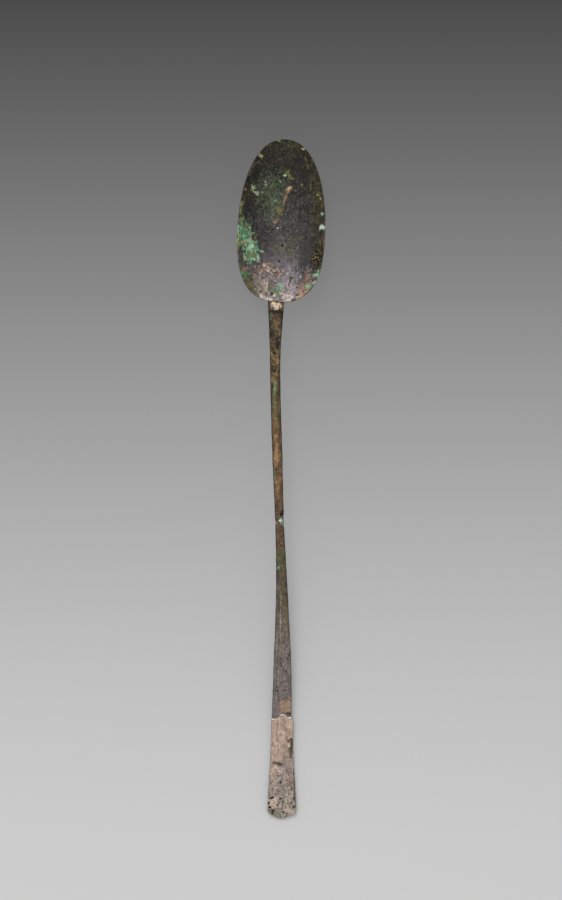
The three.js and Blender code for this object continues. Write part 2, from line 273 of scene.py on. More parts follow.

# Patches of the patina, among them some painted highlights and shadows, marked where they stand. In
# each group a later patch covers an earlier one.
BOWL_HAZE_AND_HIGHLIGHTS = (
    Patch(284, 149, 40, 14, "dark olive", strength=0.6),
    Patch(292, 146, 16, 7, "olive", strength=0.45),
    Patch(271, 193, 30, 42, "moss", strength=0.7),
    Patch(270, 213, 24, 14, "moss", strength=0.4),
    Patch(245.5, 196, 9, 13, "olive", strength=0.5),
    Patch(292, 247, 36, 24, "olive grey", strength=0.4),
    Patch(316, 175, 16, 60, "dark olive", strength=0.6),
    Patch(318, 222, 14, 60, "dark olive", strength=0.7),
    Patch(317, 262, 15, 42, "dark olive", strength=0.8),
    Patch(239.5, 256, 6, 12, "purple grey", strength=0.5),
    Patch(306, 252, 16, 74, "charcoal", turn=4, strength=0.7),
    Patch(257, 276, 15, 24, "brown pink", strength=0.4),
    Patch(263, 290, 12, 11, "tan", strength=0.3),
    Patch(270, 268, 26, 9, "brown pink", strength=0.4),
    Patch(307, 282, 9, 26, "brown pink", strength=0.5),
    Patch(247.6, 282, 7, 26, "olive", turn=-28, strength=0.7),
    Patch(256, 294, 6, 15, "olive grey", turn=-50, strength=0.6),
    Patch(241, 262, 5, 16, "olive grey", strength=0.6),
    Patch(304, 291, 12, 14, "tan pink", turn=35, strength=0.8),
    # Painted highlights: pink white along the lower rim, where its inner wall faces the light, and
    # pale purple on the lower bowl, which is partly its own tone and partly painted light.
    Patch(263.6, 298, 15, 6, "pink white", turn=20, strength=0.75),
    Patch(287, 297, 13, 9, "pink white", turn=-10, strength=0.75),
    Patch(262, 284, 16, 22, "pale purple", strength=0.45),
    Patch(289, 288, 20, 18, "pale purple", strength=0.4),
)
VERDIGRIS = (
    Patch(244.6, 236, 17, 29, "verdigris"),
    Patch(249.8, 246, 16, 22, "verdigris"),
    Patch(251.2, 256.5, 13.5, 14.5, "verdigris"),
    Patch(260, 250.4, 8, 2, "verdigris", turn=20),
)
BOWL_SPOTS = (
    Patch(287.5, 172.3, 6, 4.5, "ochre green"),
    Patch(290, 175.4, 3.4, 4.4, "ochre green", turn=-30),
    Patch(292, 178.2, 6, 2.8, "ochre green", turn=20),
    Patch(285, 175.3, 3.6, 1.7, "mint"),
    Patch(280.5, 181.6, 1.8, 3, "mint"),
    Patch(260.9, 157.1, 4.4, 4.8, "lichen"),
    Patch(278.3, 141.9, 5.8, 2, "lichen"),
    Patch(289.8, 142.3, 2.2, 1.6, "lichen", strength=0.7),
    Patch(302.2, 149.5, 3.8, 2.4, "orange"),
    Patch(304, 149.9, 2, 1.4, "white"),
    Patch(252.9, 187.2, 4.4, 5.4, "pale lichen"),
    Patch(253.4, 182.8, 3, 2.2, "lichen", strength=0.6),
    Patch(254.4, 192, 4, 2.4, "pale lichen", turn=25),
    Patch(257.6, 193.9, 2.6, 3.8, "pale lichen"),
    Patch(262.6, 192.3, 3, 2.6, "mint dull"),
    Patch(265.5, 181.6, 1.8, 1.6, "white"),
    Patch(265.8, 184.4, 1.4, 2.2, "white", strength=0.8),
    Patch(245.6, 189.9, 2.4, 2, "orange"),
    Patch(242.2, 203.6, 4.2, 6.4, "yellow green"),
    Patch(240.8, 212, 3.6, 10, "yellow green"),
    Patch(242, 220.3, 7, 9, "yellow green"),
    Patch(289.4, 188.4, 7, 5, "tan", turn=-25, strength=0.8),
    Patch(275.3, 200.9, 3.2, 2.8, "mint dull"),
    Patch(280.4, 201.4, 5, 4.6, "green dull", strength=0.8),
    Patch(278.8, 208.9, 6.5, 6, "yellow green dull"),
    Patch(274.7, 221.8, 4.6, 3.6, "pink tan"),
    Patch(305.4, 159.6, 1.8, 8, "tan olive", turn=-20, strength=0.7),
    Patch(308, 167, 2.2, 6, "tan olive", turn=-15, strength=0.7),
    Patch(302.2, 185, 2.6, 2.4, "lichen", strength=0.7),
    Patch(310.8, 184.6, 3.6, 1.8, "tan olive", turn=40),
    Patch(317.5, 196, 2, 3, "yellow", turn=-30),
    Patch(320.5, 199.2, 2, 2.8, "yellow", turn=-30),
    Patch(322.2, 205.2, 3.4, 4.8, "orange brown"),
    Patch(322.4, 214.7, 3, 3, "mint"),
    Patch(277.6, 227.7, 1.9, 1.9, "white"),
    Patch(268, 231.4, 1.8, 1.8, "lichen", strength=0.6),
    Patch(254.8, 233.2, 1.6, 1.6, "lichen", strength=0.8),
    Patch(262.8, 244.6, 4, 5, "olive grey", strength=0.8),
    Patch(288.7, 249.4, 1.6, 1.8, "lichen", strength=0.7),
    Patch(293.6, 247.6, 1.3, 1.3, "lichen", strength=0.7),
    Patch(322.4, 227.6, 6.4, 4.8, "white mint"),
    Patch(324, 243.4, 3.4, 14, "tan olive"),
    # Painted highlight: a thin gold streak where the right rim's inner edge catches the light.
    Patch(319.9, 242.6, 1.4, 6, "gold", strength=0.7),
    Patch(319.2, 270.9, 5, 3.4, "mint", turn=-40),
    Patch(316.4, 275.4, 8, 6, "mint"),
    Patch(315.2, 282.6, 6, 4, "mint", turn=-50),
    Patch(307.4, 286.7, 5, 5, "mint dull"),
    Patch(307.1, 274, 3.4, 6, "brown pink", strength=0.6),
    Patch(307.1, 281.2, 6, 4.6, "rust dull", strength=0.45),
    Patch(302.2, 285.3, 5, 4.4, "brown pink"),
    Patch(301.4, 294.2, 6, 6.4, "tan pale"),
    Patch(297, 298.8, 7, 3.4, "tan pale", turn=-30, strength=0.8),
    Patch(246.2, 269, 6.4, 4.4, "pink tan", strength=0.9),
    Patch(245.9, 275.4, 8.5, 8, "green dull"),
    Patch(243.2, 274, 3, 3.4, "emerald", strength=0.8),
    Patch(247.8, 276.6, 3, 4, "dark green"),
    Patch(248.6, 284.4, 4, 11, "tan olive", turn=-32, strength=0.7),
    Patch(252.6, 290.8, 3.6, 7, "olive grey", turn=-38, strength=0.8),
    Patch(264.2, 265.9, 3.8, 3.2, "cream"),
    Patch(262.4, 268.5, 3.4, 2.2, "orange"),
    Patch(265.4, 263.8, 4, 2, "tan pale"),
    Patch(266, 269, 4.6, 2.4, "tan pale"),
    Patch(269.6, 263.4, 2.4, 1.8, "orange"),
    Patch(270.4, 268.4, 2.6, 2, "pink cream"),
    Patch(273.4, 270.4, 3, 2, "cream", strength=0.8),
    Patch(281.4, 273.4, 3, 2, "tan pale"),
    Patch(255.4, 266.6, 2, 2, "cream", strength=0.6),
    Patch(260.4, 272.4, 2, 3, "tan", strength=0.7),
    Patch(267.9, 266.5, 2.2, 3, "cream"),
    Patch(258.7, 268.4, 2.4, 2.2, "cream", strength=0.8),
    Patch(274.4, 267, 3, 2.6, "olive"),
    Patch(277.1, 269, 1.8, 2.8, "cream"),
    Patch(279, 271.4, 2.4, 2, "tan pale"),
    Patch(283.5, 270.5, 1.9, 1.9, "white"),
    Patch(262.4, 277.9, 3.4, 3.2, "olive"),
    Patch(269.9, 285, 4.4, 12, "olive grey", strength=0.9),
    Patch(259.9, 285, 3, 10, "tan", strength=0.6),
    Patch(267, 285, 1.7, 13, "pink white", strength=0.8),
    Patch(264.6, 283, 1.4, 9, "pink white", strength=0.5),
    Patch(280.8, 285.5, 4.6, 8.4, "mint dull", turn=-8),
    Patch(274.6, 291.6, 12, 6, "green dull"),
    Patch(278.4, 290.8, 4, 4, "emerald", strength=0.6),
    Patch(274.8, 295.6, 5.6, 3, "pink cream"),
    Patch(281.4, 293.8, 4.6, 5, "pink cream", strength=0.8),
    Patch(289.4, 187.6, 3, 3.4, "cream", turn=-30, strength=0.45),
    Patch(288, 192, 2, 5, "tan", turn=20, strength=0.8),
    Patch(257, 281, 2.4, 3, "green dull"),
    Patch(253.6, 287, 2.6, 3, "olive"),
    Patch(260.4, 292, 3, 2.4, "olive"),
    Patch(266.4, 293.6, 2.4, 2.4, "umber", strength=0.7),
    Patch(256, 272.6, 2.4, 2.4, "umber", strength=0.7),
    Patch(251.6, 279.6, 2, 2.4, "black", strength=0.8),
    Patch(272.4, 286.6, 2, 3, "umber", strength=0.6),
    Patch(285.4, 289.6, 2, 2.4, "purple grey", strength=0.7),
    Patch(265.6, 288.4, 3, 6, "tan", strength=0.5),
    Patch(278.2, 298.6, 4.6, 4, "mint dull"),
    Patch(277.4, 301.6, 4, 2.4, "ochre"),
    # Painted highlights on the lower rim, where its inner wall faces the light.
    Patch(289.6, 301, 5, 2.4, "cream"),
    Patch(261, 296.4, 6, 2.6, "white", turn=25, strength=0.6),
)
BOWL_HOLES = (
    Patch(282.3, 244.9, 2.2, 2.2, "hole"),
    Patch(285.4, 240.4, 1.7, 1.5, "hole", strength=0.7),
    Patch(279.2, 260.7, 1.9, 2, "hole"),
    Patch(296.8, 287.4, 2, 1.9, "hole"),
    Patch(252.3, 260.6, 2, 2, "hole"),
    Patch(272, 294.4, 2.8, 2.4, "hole"),
    Patch(297.2, 295, 3, 1.4, "hole", turn=-35),
    Patch(291.8, 301.7, 4.4, 1.8, "hole", turn=-25, strength=0.8),
    Patch(294.6, 299.9, 3, 1.6, "hole", turn=-20, strength=0.8),
    Patch(303, 292, 1.4, 3, "umber"),
)
VERDIGRIS_SPOTS = (
    Patch(238.6, 243, 4.4, 20, "yellow green", strength=0.8),
    Patch(243.6, 231.4, 9, 6, "emerald"),
    Patch(246, 231.4, 3.4, 2.6, "teal"),
    Patch(241.8, 240, 4, 3, "emerald"),
    Patch(246, 227, 2.4, 6, "orange brown", turn=-35),
    Patch(250.4, 235.6, 3.6, 3.4, "orange"),
    Patch(254.8, 237.6, 3, 5, "tan olive", turn=-30, strength=0.8),
    Patch(244.6, 242.2, 4.4, 3.4, "orange"),
    Patch(250.6, 241.6, 8, 7, "mint"),
    Patch(251, 247.4, 6, 3, "white mint", turn=-25, strength=0.6),
    Patch(253.3, 255.6, 7, 6, "green dull"),
    Patch(250.8, 253.4, 2.2, 2, "rust"),
    Patch(247.1, 258, 2.2, 2, "rust"),
    Patch(243.6, 254, 2, 8, "mint", strength=0.8),
    Patch(257.6, 258.4, 1.2, 7, "white mint", turn=12),
)
# Lines through pixels of the photograph
TAN_STREAK = (
    (290.5, 186),
    (287.6, 190),
    (285.7, 197),
    (283.2, 203.4),
    (280.8, 209.5),
    (277.6, 215.6),
    (274.8, 221),
)
PALE_STREAK = TAN_STREAK[1:4]
RIM_BAND = ((260, 162.6), (254.6, 164.4), (251.4, 169), (249.6, 175))
CREAM_LINE = ((267.3, 270), (269.8, 271.6), (272.2, 274))
SCRATCH = ((291.4, 277), (290, 281.4), (288.4, 286))

# Patches again
SCRIBBLE = Patch(318, 256, 13, 27, "black", turn=5)
UPPER_SPOTS = (
    # Painted shadow: a dark band just under the proud solder lump.
    Patch(276.6, 311.8, 18, 4.6, "black"),
    Patch(283.2, 307.2, 2.8, 4.8, "tan"),
    Patch(281.4, 314.8, 3, 3, "umber"),
    Patch(281.4, 314.8, 1.4, 1.4, "hole"),
    Patch(271, 316.6, 2.2, 10, "green dull", strength=0.8),
    Patch(282.6, 318, 4, 12, "black", strength=0.9),
    Patch(277, 317, 5, 4, "umber", strength=0.8),
    Patch(282.6, 334, 2.4, 24, "black", strength=0.6),
    Patch(274, 321, 2.4, 5, "tan olive", strength=0.6),
    Patch(280, 333, 3.4, 10, "tan", strength=0.75),
    Patch(281.2, 346, 3, 9, "tan", strength=0.7),
    Patch(276, 325, 6, 7, "tan olive", strength=0.6),
    Patch(272, 334, 3, 8, "black", strength=0.7),
    Patch(277.4, 343.6, 4.2, 12, "black"),
    Patch(274.7, 354, 2.2, 2.6, "hole"),
    Patch(278, 361, 4, 12, "gold tan", strength=0.7),
    Patch(272.6, 369, 3.6, 8, "black", strength=0.95),
    Patch(275, 371, 3, 5, "black", strength=0.8),
    Patch(272.8, 350, 2, 6, "black", strength=0.8),
    Patch(273.6, 359, 1.8, 4, "tan", strength=0.7),
    Patch(276, 378, 3.4, 3, "umber"),
    Patch(272.4, 386, 1.6, 7, "black", strength=0.8),
    Patch(271.8, 379, 1.6, 3, "tan", strength=0.8),
    Patch(278.6, 388, 2, 12, "umber", strength=0.6),
    Patch(279.4, 381, 2, 11, "umber", strength=0.7),
    Patch(274.9, 395, 2.4, 32, "green dull", strength=0.85),
    Patch(274.7, 388, 1.8, 13, "mint dull", strength=0.8),
    Patch(276.2, 416, 1.6, 13, "green dull", strength=0.8),
    Patch(277.8, 406, 2.6, 15, "umber", strength=0.5),
    Patch(276, 424, 3.6, 12, "tan", strength=0.4),
    Patch(271.8, 437, 2, 2.6, "hole"),
    Patch(276.2, 453, 4, 17, "tan", strength=0.5),
    Patch(274.2, 475, 2.2, 12, "green dull", strength=0.8),
    Patch(278, 490, 3.4, 14, "gold tan", strength=0.5),
    Patch(276.4, 505, 5, 9, "umber", strength=0.5),
    Patch(281.8, 514.4, 5.8, 9, "black", strength=0.95),
)
LOWER_SPOTS = (
    Patch(279, 531, 6, 9, "umber", strength=0.4),
    Patch(277.6, 543.5, 1.6, 12, "orange brown", strength=0.9),
    Patch(281, 545, 2, 2, "hole"),
    Patch(283, 557, 4.6, 14, "olive", strength=0.6),
    Patch(278.5, 567.7, 2.8, 2.6, "mint dull"),
    Patch(283.4, 592, 4.4, 38, "olive", strength=0.5),
    Patch(286.4, 584, 1.8, 6, "black", strength=0.8),
    Patch(286.6, 595, 1.8, 7, "black", strength=0.8),
    Patch(286, 612, 2.6, 25, "ochre", strength=0.5),
    # Painted highlight: a thin pale line along a low ridge on the blade.
    Patch(280.6, 617, 1.1, 44, "grey white", strength=0.8),
    Patch(277.2, 691, 1.8, 1.8, "hole", strength=0.7),
    Patch(287.6, 707, 16, 21, "tan pink", turn=30),
    Patch(275.4, 706, 8, 24, "purple grey", strength=0.7),
    Patch(289.6, 714, 11, 3.6, "dark olive", strength=0.9),
)
END_SPOTS = (
    Patch(286, 730.6, 9, 1.1, "umber", strength=0.4),
    Patch(291.4, 752, 3, 18, "umber", strength=0.5),
    Patch(288.6, 742.4, 3.4, 4, "dark olive"),
    Patch(291.2, 739.6, 2.8, 3.2, "umber"),
    Patch(289.8, 751, 4, 7, "moss"),
    Patch(291.8, 748, 2.2, 16, "dark olive"),
    Patch(290.8, 757.4, 2.8, 5, "umber"),
    Patch(289.6, 746.6, 1.8, 2, "orange"),
    Patch(277, 763.4, 6.4, 2.8, "black", turn=-8),
    Patch(280, 765, 3.6, 3, "black"),
    Patch(282.6, 757, 4, 1.6, "orange"),
    Patch(286.6, 765, 8, 17, "purple grey", strength=0.6),
    Patch(279.6, 784, 4, 7, "purple grey", strength=0.5),
    Patch(274.8, 769.6, 10.5, 8, "pink cream", strength=0.8),
    Patch(276, 777, 4.4, 3, "orange", strength=0.5),
    Patch(283.5, 782, 5.4, 27, "grey white", strength=0.6),
    Patch(289.6, 784, 7, 8.4, "brown pink", strength=0.8),
    Patch(273.2, 802.4, 12.5, 9, "pink cream", strength=0.85),
    Patch(289, 812, 11.5, 7.6, "pink cream", strength=0.85),
    Patch(275.6, 814, 14, 7, "grey green", strength=0.8),
    # Painted shade: a dark strip along the right edge of the end, where its bevel turns away from
    # the light.
    Patch(294.6, 762, 2.2, 84, "dark olive", strength=0.7),
)
END_HOLES = (
    Patch(272.5, 798, 2.8, 2.6, "hole"),
    Patch(270.4, 799.4, 2.2, 2, "hole"),
    Patch(268, 804, 2.6, 2.8, "hole"),
    Patch(269.8, 808, 2.6, 2.4, "hole"),
    Patch(273.4, 811.4, 2.8, 2.2, "hole"),
    Patch(272.4, 814, 2, 1.8, "hole"),
    Patch(277.6, 805.6, 1.8, 1.8, "hole", strength=0.7),
    Patch(280.3, 799.4, 2.2, 2, "hole"),
    Patch(282.7, 802.2, 2.6, 2.4, "hole"),
    Patch(283.6, 812.8, 2.2, 2, "hole"),
    Patch(286.6, 814, 2.2, 1.8, "hole", strength=0.7),
    Patch(291.6, 803, 1.8, 2.2, "hole", strength=0.7),
    Patch(293.8, 807.4, 2, 2.6, "hole", strength=0.7),
    Patch(294, 799, 1.8, 3, "hole", strength=0.8),
    Patch(280.8, 783, 2.4, 3, "hole", strength=0.5),
)
RIVET_HEAD = Patch(276.6, 275.3, 6, 6, "rust dull")
SOLDER_SPOTS = (
    Patch(277.4, 302.6, 4.6, 2.6, "ochre"),
    # Painted highlight: a white patch on the upper left of the solder lump, which faces the light.
    Patch(273.4, 305.4, 5, 3, "white", strength=0.6),
)
UPPER_FILL_SPOTS = (
    Patch(281.6, 520.6, 6, 11, "grey mint"),
    Patch(281.4, 525, 3, 2.4, "dark green"),
    Patch(280, 520.4, 3, 3, "white"),
    Patch(276.6, 522.6, 1.6, 1.2, "white mint"),
)


def eased(share):
    """A share from 0 to 1 that starts and ends gently."""
    return share * share * (3 - 2 * share)


def smoothstep(value, low, high):
    return eased(np.clip((value - low) / (high - low), 0, 1))


def rising(start, end, share):
    """A value that goes from start to end with a share from 0 to 1."""
    return start + (end - start) * share


def to_linear(colour):
    """Linear light from colours as a screen shows them, by the sRGB curve."""
    dark = colour / SRGB_SLOPE
    light = ((colour + SRGB_OFFSET) / (1 + SRGB_OFFSET)) ** SRGB_POWER
    return np.where(colour <= SRGB_KNEE, dark, light)


def lattice_noise(place, grain, seed):
    """Smooth noise from -1 to 1. The grain is one length, or one for each axis."""
    values = np.random.default_rng(seed).uniform(-1, 1, (LATTICE, LATTICE, LATTICE))
    at = place / grain
    cell = np.floor(at).astype(int)
    part = eased(at - cell)
    total = np.zeros(len(place))
    for corner in np.ndindex(2, 2, 2):
        share = np.where(corner, part, 1 - part).prod(axis=1)
        x, y, z = ((cell + corner) % LATTICE).T
        total += share * values[x, y, z]
    return total


def read(mesh, what):
    flat = np.empty(3 * len(mesh.vertices), np.float32)
    mesh.vertices.foreach_get(what, flat)
    return flat.reshape(-1, 3).astype(float)


class Skin:
    """A colour, a roughness, a metal share and a height at each vertex of a piece."""

    def __init__(self, mesh):
        self.place = read(mesh, "co")
        self.normal = read(mesh, "normal")
        self.right = SPOON_MIDDLE + self.place[:, 0] * PIXELS_PER_MM
        self.down = SPOON_TOP + (TIP_Y - self.place[:, 1]) * PIXELS_PER_MM
        self.facing = smoothstep(self.normal[:, 2], *FACING_RANGE)
        self.grit = self.noise(GRIT_GRAIN, seed=4)
        self.edge = self.noise(EDGE_GRAIN, seed=1) + GRIT_IN_EDGE * self.grit
        self.colour = np.zeros_like(self.place)
        self.rough = np.full(len(self.place), PLAIN_ROUGH)
        self.metal = np.full(len(self.place), PLAIN_METAL)
        self.height = np.full(len(self.place), SINK)

    def noise(self, grain, seed):
        """Noise in layers, each twice as fine and half as strong as the one before."""
        total = np.zeros(len(self.place))
        for layer in range(NOISE_LAYERS):
            finer = 2**layer
            total += lattice_noise(self.place, np.array(grain) / finer, seed + layer) / finer
        return total

    def clouds(self, grain, seed, low, high):
        """Scattered areas where the noise is high."""
        return smoothstep(self.noise(grain, seed), low, high)

    def below(self, rows):
        """A share that grows from 0 at the first pixel row to 1 at the second."""
        return smoothstep(self.down, *rows)

    def grade(self, colours, rough=PLAIN_ROUGH, metal=PLAIN_METAL):
        """A plain surface whose colour changes with the pixel row."""
        rows = [row for row, _ in colours]
        channels = np.array([rgb(code) for _, code in colours]).T
        self.colour = np.stack([np.interp(self.down, rows, channel) for channel in channels], axis=1)
        self.rough[:] = rough
        self.metal[:] = metal

    def shade(self, by, grain, seed, share=1):
        self.colour *= (1 + by * share * self.noise(grain, seed))[:, None]

    def raise_by(self, height, grain, seed, share=1):
        self.height += height * share * self.noise(grain, seed)

    def ragged(self, reach):
        """The mask of a form whose reach is 1 at its edge, made uneven by noise."""
        return 1 - smoothstep(reach + RAGGED * self.edge, *PATCH_EDGE)

    def blob(self, patch):
        turn = math.radians(patch.turn)
        right = self.right - patch.right
        down = self.down - patch.down
        across = right * math.cos(turn) + down * math.sin(turn)
        along = down * math.cos(turn) - right * math.sin(turn)
        return self.ragged(np.hypot(2 * across / patch.wide, 2 * along / patch.high))

    def streak(self, points, wide):
        """The mask of a line through some pixels."""
        nearest = np.full(len(self.right), np.inf)
        for start, end in zip(points, points[1:]):
            run = np.subtract(end, start)
            offset = np.column_stack([self.right - start[0], self.down - start[1]])
            share = np.clip(offset @ run / (run @ run), 0, 1)
            nearest = np.minimum(nearest, np.linalg.norm(offset - share[:, None] * run, axis=1))
        return self.ragged(2 * nearest / wide)

    def cover(self, mask, name, share=1):
        tone = TONES[name]
        mask = mask * share
        self.colour += mask[:, None] * (tone.colour - self.colour)
        self.rough += mask * (tone.rough - self.rough)
        self.metal += mask * (tone.metal - self.metal)
        self.height += mask * tone.lift

    def fill(self, name):
        self.cover(np.ones(len(self.place)), name)

    def broken(self):
        return rising(GRIT_FLOOR, 1, smoothstep(self.grit, *GRIT_RANGE))

    def lay(self, patches, whole=False):
        """Patches over the top of the piece, broken up by its grit unless they are whole."""
        seen = self.facing if whole else self.facing * self.broken()
        for patch in patches:
            self.cover(self.blob(patch) * patch.strength * seen, patch.tone)

    def specks(self, name, grain, above, seed, share=1):
        """Scattered specks where noise of one layer is high."""
        found = smoothstep(lattice_noise(self.place, grain, seed), above, above + SPECK_EDGE)
        self.cover(found, name, share)

    # Painted shade: faces that turn from the top towards the sides are darkened.
    def paint_side_shade(self, by):
        side = 1 - smoothstep(self.normal[:, 2], *SIDE_SHADE_RANGE)
        self.colour *= (1 - by * side)[:, None]

    def write(self, mesh):
        colour = np.column_stack([to_linear(np.clip(self.colour, 0, 1)), np.ones(len(self.colour))])
        paint = mesh.attributes.new("paint", "FLOAT_COLOR", "POINT")
        paint.data.foreach_set("color", colour.astype(np.float32).ravel())
        for name, values in (("rough", self.rough), ("metal", self.metal)):
            layer = mesh.attributes.new(name, "FLOAT", "POINT")
            layer.data.foreach_set("value", np.clip(values, 0, 1).astype(np.float32))


# Shape of the bowl, as in the CAD part


def bowl_share(x, y):
    """How far a plan point is from the middle, 0, to the rim, 1."""
    up = y - HEEL_REACH
    along = up * math.cos(LEAN) + x * math.sin(LEAN)
    across = x * math.cos(LEAN) - up * math.sin(LEAN)
    fullness = np.where(along > 0, TIP_FULLNESS, HEEL_FULLNESS)
    reach = np.where(along > 0, TIP_REACH, HEEL_REACH)
    total = (np.abs(along) / reach) ** fullness + (np.abs(across) / HALF_WIDTH) ** fullness
    return total ** (1 / fullness)


def bowl_outside(x, y):
    """Height of the bowl's outside over a plan point."""
    past = np.maximum(0, bowl_share(x, y) - FLOOR_SHARE) / (1 - FLOOR_SHARE)
    return BOWL_HEIGHT * past**DISHING


def bowl_normal(x, y):
    slope_x = (bowl_outside(x + SLOPE_STEP, y) - bowl_outside(x - SLOPE_STEP, y)) / (2 * SLOPE_STEP)
    slope_y = (bowl_outside(x, y + SLOPE_STEP) - bowl_outside(x, y - SLOPE_STEP)) / (2 * SLOPE_STEP)
    normal = np.stack([-slope_x, -slope_y, np.ones_like(x)], axis=1)
    return normal / np.linalg.norm(normal, axis=1, keepdims=True)


def powered(value, power):
    return np.sign(value) * np.abs(value) ** power


def bowl_ring(share, inwards):
    """The outside at a share of the way to the rim, moved inwards by a thickness."""
    turns = np.linspace(0, 2 * np.pi, BOWL_SIDES, endpoint=False)
    ahead = np.cos(turns) > 0
    power = 2 / np.where(ahead, TIP_FULLNESS, HEEL_FULLNESS)
    reach = np.where(ahead, TIP_REACH, HEEL_REACH)
    along = share * reach * powered(np.cos(turns), power)
    across = share * HALF_WIDTH * powered(np.sin(turns), power)
    x = across * math.cos(LEAN) + along * math.sin(LEAN)
    y = HEEL_REACH + along * math.cos(LEAN) - across * math.sin(LEAN)
    outside = np.stack([x, y, bowl_outside(x, y)], axis=1)
    return outside + inwards * bowl_normal(x, y)


def wall_at(share):
    return rising(BOWL_WALL, RIM_WALL, smoothstep(share, THINNING_FROM, 1))


def lip_ring(outer, inner, turn):
    middle = (outer + inner) / 2
    ring = middle + (outer - middle) * math.cos(turn)
    ring[:, 2] += RIM_WALL / 2 * math.sin(turn)
    return ring


def bowl_points():
    """The rings from under the bowl over its lip to its inside, then the two middles."""
    shares = np.linspace(1 / BOWL_RINGS, 1, BOWL_RINGS)
    outside = [bowl_ring(share, 0) for share in shares]
    inside = [bowl_ring(share, wall_at(share)) for share in shares[::-1]]
    lip = [lip_ring(outside[-1], inside[0], math.pi * i / LIP_STEPS) for i in range(1, LIP_STEPS)]
    rings = outside + lip + inside
    under_middle = np.array([[0, HEEL_REACH, 0]])
    inner_middle = np.array([[0, HEEL_REACH, BOWL_WALL]])
    return np.vstack(rings + [under_middle, inner_middle]), len(rings)


def bowl_faces(ring_count):
    faces = []
    last = (ring_count - 1) * BOWL_SIDES
    under_middle = ring_count * BOWL_SIDES
    inner_middle = under_middle + 1
    for i in range(BOWL_SIDES):
        j = (i + 1) % BOWL_SIDES
        faces.append((under_middle, j, i))
        faces.append((inner_middle, last + i, last + j))
        for start in range(0, last, BOWL_SIDES):
            faces.append((start + i, start + j, start + BOWL_SIDES + j, start + BOWL_SIDES + i))
    return faces


def face_outwards(mesh):
    shape = bmesh.new()
    shape.from_mesh(mesh)
    bmesh.ops.recalc_face_normals(shape, faces=shape.faces[:])
    shape.to_mesh(mesh)
    shape.free()


def make_bowl():
    """The bowl in millimetres, set over the middle of the CAD bowl."""
    points, ring_count = bowl_points()
    low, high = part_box("bowl")
    for axis in range(2):
        middle = (low[axis] + high[axis]) / 2 / MM
        points[:, axis] += middle - (points[:, axis].min() + points[:, axis].max()) / 2
    mesh = bpy.data.meshes.new("bowl_aged")
    mesh.from_pydata(points.tolist(), [], bowl_faces(ring_count))
    face_outwards(mesh)
    return mesh


def make_fine(node, spacing, wear):
    """A copy of a CAD piece in millimetres, with an even mesh and slightly worn edges."""
    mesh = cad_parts[node].data.copy()
    mesh.transform(Matrix.Scale(1 / MM, 4))
    source = bpy.data.objects.new(node + "_source", mesh)
    bpy.context.scene.collection.objects.link(source)
    weld = source.modifiers.new("weld", "WELD")
    weld.merge_threshold = WELD_GAP
    even = source.modifiers.new("even", "REMESH")
    even.mode = "VOXEL"
    even.voxel_size = spacing
    worn = source.modifiers.new("worn", "SMOOTH")
    worn.iterations = wear
    depsgraph = bpy.context.evaluated_depsgraph_get()
    fine = bpy.data.meshes.new_from_object(source.evaluated_get(depsgraph))
    bpy.data.objects.remove(source)
    return fine


# Patina of each piece. Each noise has a seed of its own.


def age_underside(skin):
    under = 1 - skin.facing
    skin.cover(under, "underside")
    green = skin.clouds(grain=2.2, seed=31, low=0.15, high=0.45)
    skin.cover(under * green, "green dull", share=0.7)
    skin.shade(by=0.12, grain=0.9, seed=34)


def paint_strokes(skin):
    """Fine strokes along the bowl, strongest right of its middle."""
    region = smoothstep(skin.right, *STROKE_COLUMNS) * skin.below(STROKE_ROWS)
    skin.shade(by=0.16, grain=(0.2, 7, 7), seed=41, share=region)
    skin.raise_by(0.008, grain=(0.2, 7, 7), seed=41, share=region)


def paint_grit(skin):
    """Fine specks, of other tones in the upper bowl, on its right wall and at its heel."""
    upper = 1 - skin.below(UPPER_ROWS)
    heel = skin.below(HEEL_ROWS)
    contrast = GRIT_CONTRAST + UPPER_CONTRAST * upper + HEEL_CONTRAST * heel
    skin.shade(by=contrast, grain=0.36, seed=26)
    skin.specks("olive dust", grain=0.3, above=0.5, seed=23, share=rising(0.2, 0.55, upper))
    skin.specks("black", grain=0.4, above=0.6, seed=24, share=rising(0.3, 0.8, upper))
    wall = smoothstep(skin.right, *WALL_COLUMNS) * upper
    skin.specks("tan olive", grain=0.45, above=0.35, seed=38, share=0.6 * wall)
    skin.specks("umber", grain=0.45, above=0.45, seed=36, share=0.5 * heel)
    skin.specks("pink white", grain=0.5, above=0.45, seed=37, share=0.5 * heel)
    crusted = heel * (1 - smoothstep(skin.right - CRUST_SLANT * skin.down, *CRUST_COLUMNS))
    skin.specks("olive", grain=0.6, above=0.25, seed=27, share=0.7 * crusted)
    skin.specks("green dull", grain=0.5, above=0.4, seed=28, share=0.8 * crusted)
    skin.specks("tan", grain=0.4, above=0.4, seed=29, share=0.6 * crusted)


def paint_marks(skin):
    """Streaks, spots and lines, in the order in which they cover each other."""
    seen = skin.facing * skin.broken()
    skin.cover(skin.streak(TAN_STREAK, wide=2.8) * seen, "orange brown", share=0.8)
    skin.cover(skin.streak(PALE_STREAK, wide=1.6) * seen, "tan", share=0.7)
    skin.cover(skin.streak(RIM_BAND, wide=2.4) * skin.facing, "olive grey", share=0.8)
    skin.lay(BOWL_SPOTS)
    skin.cover(skin.streak(CREAM_LINE, wide=1.4) * skin.facing, "cream")
    skin.cover(skin.streak(SCRATCH, wide=1.3) * skin.facing, "hole", share=0.8)


